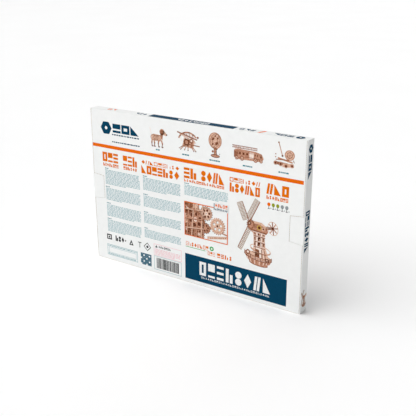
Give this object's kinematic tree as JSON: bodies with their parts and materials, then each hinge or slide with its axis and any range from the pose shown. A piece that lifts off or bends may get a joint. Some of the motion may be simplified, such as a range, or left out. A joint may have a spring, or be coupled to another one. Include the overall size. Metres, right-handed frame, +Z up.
{
  "type": "boxed wooden windmill kit",
  "caption": "Flat retail carton standing on its long edge, with a drop-down printed panel and inside it laser-cut plywood sheets of windmill parts, a booklet and a parts bay.",
  "frame": {"origin": "middle of the carton's base, where it stands", "axes": "+X along the carton's length to the end wall on the right of the printed panel, +Y through its depth away from the drop-down panel, +Z up"},
  "size_m": [0.375, 0.0186, 0.25],
  "materials": {
    "printed_card": "satin white print on fluted card",
    "kraft_card": "matte kraft card",
    "plywood": "sanded bare plywood with laser-cut edges",
    "dowel_wood": "smooth bare wood",
    "sandpaper": "fine grit",
    "wax": "waxy, slightly translucent",
    "booklet_paper": "smooth uncoated paper"
  },
  "bodies": {
    "carton": {"front_panel": "printed_card", "top_wall": "printed_card", "bottom_wall": "printed_card", "left_end_wall": "printed_card", "right_end_wall": "printed_card", "corner_glue_tabs": "printed_card", "end_spacer": "kraft_card", "bay_insert": "kraft_card", "axle_dowels": "dowel_wood", "sandpaper_strip": "sandpaper", "wax_block": "wax", "booklet_cover": "booklet_paper", "booklet_pages": "booklet_paper"},
    "panel": {"drop_panel": "printed_card"},
    "tuck": {"tuck_flap": "printed_card"},
    "left_ear": {"left_dust_ear": "printed_card"},
    "right_ear": {"right_dust_ear": "printed_card"},
    "left_tab": {"left_lock_tab": "printed_card"},
    "right_tab": {"right_lock_tab": "printed_card"},
    "sail_board": {"sail_sheet": "plywood", "sails": "plywood", "sail_spars": "plywood", "fantail_blades": "plywood", "fantail_rings": "plywood", "large_gears": "plywood", "medium_gears": "plywood", "pinions": "plywood", "hub_discs": "plywood"},
    "tower_board": {"tower_sheet": "plywood", "tower_panels": "plywood", "skirt_panels": "plywood", "tower_ribs": "plywood", "wedges": "plywood"},
    "gallery_board": {"gallery_sheet": "plywood", "gallery_rings": "plywood", "base_disc": "plywood", "railings": "plywood", "brackets": "plywood", "posts": "plywood", "pegs": "plywood"},
    "cap_board": {"cap_sheet": "plywood", "cap_ribs": "plywood", "roof_slats": "plywood", "idler_gears": "plywood", "idler_pinions": "plywood", "washers": "plywood", "stair_treads": "plywood", "stair_sides": "plywood", "shutters": "plywood", "spacer_pins": "plywood"}
  },
  "joints": [
    {"name": "panel_hinge", "type": "hinge", "parent": "carton", "child": "panel", "pos_m": [0, -0.0093, 0], "axis": [1, 0, 0], "range_deg": [0, 90]},
    {"name": "tuck_fold", "type": "hinge", "parent": "panel", "child": "tuck", "pos_m": [0, -0.0081, 0.2478], "axis": [1, 0, 0], "range_deg": [0, 45]},
    {"name": "left_ear_fold", "type": "hinge", "parent": "panel", "child": "left_ear", "pos_m": [-0.1853, -0.0081, 0.19], "axis": [0, 0, 1], "range_deg": [0, 45]},
    {"name": "right_ear_fold", "type": "hinge", "parent": "panel", "child": "right_ear", "pos_m": [0.1853, -0.0081, 0.19], "axis": [0, 0, -1], "range_deg": [0, 45]},
    {"name": "left_tab_fold", "type": "hinge", "parent": "carton", "child": "left_tab", "pos_m": [-0.1875, -0.0093, 0.1245], "axis": [0, 0, -1], "range_deg": [0, 165]},
    {"name": "right_tab_fold", "type": "hinge", "parent": "carton", "child": "right_tab", "pos_m": [0.1875, -0.0093, 0.1245], "axis": [0, 0, 1], "range_deg": [0, 165]},
    {"name": "sail_board_tip", "type": "hinge", "parent": "carton", "child": "sail_board", "pos_m": [0, -0.007, 0.0026], "axis": [1, 0, 0], "range_deg": [0, 24]},
    {"name": "tower_board_tip", "type": "hinge", "parent": "carton", "child": "tower_board", "pos_m": [0, -0.0037, 0.0026], "axis": [1, 0, 0], "range_deg": [0, 18]},
    {"name": "gallery_board_tip", "type": "hinge", "parent": "carton", "child": "gallery_board", "pos_m": [0, -0.0004, 0.0026], "axis": [1, 0, 0], "range_deg": [0, 12]},
    {"name": "cap_board_tip", "type": "hinge", "parent": "carton", "child": "cap_board", "pos_m": [0, 0.0029, 0.0026], "axis": [1, 0, 0], "range_deg": [0, 6]}
  ],
  "couplings": [
    {"joint": "tuck_fold", "follows": "panel_hinge", "ratio": 0.5},
    {"joint": "left_ear_fold", "follows": "panel_hinge", "ratio": 0.5},
    {"joint": "right_ear_fold", "follows": "panel_hinge", "ratio": 0.5},
    {"joint": "sail_board_tip", "follows": "panel_hinge", "ratio": 0.26667},
    {"joint": "tower_board_tip", "follows": "panel_hinge", "ratio": 0.2},
    {"joint": "gallery_board_tip", "follows": "panel_hinge", "ratio": 0.13333},
    {"joint": "cap_board_tip", "follows": "panel_hinge", "ratio": 0.066667}
  ]
}
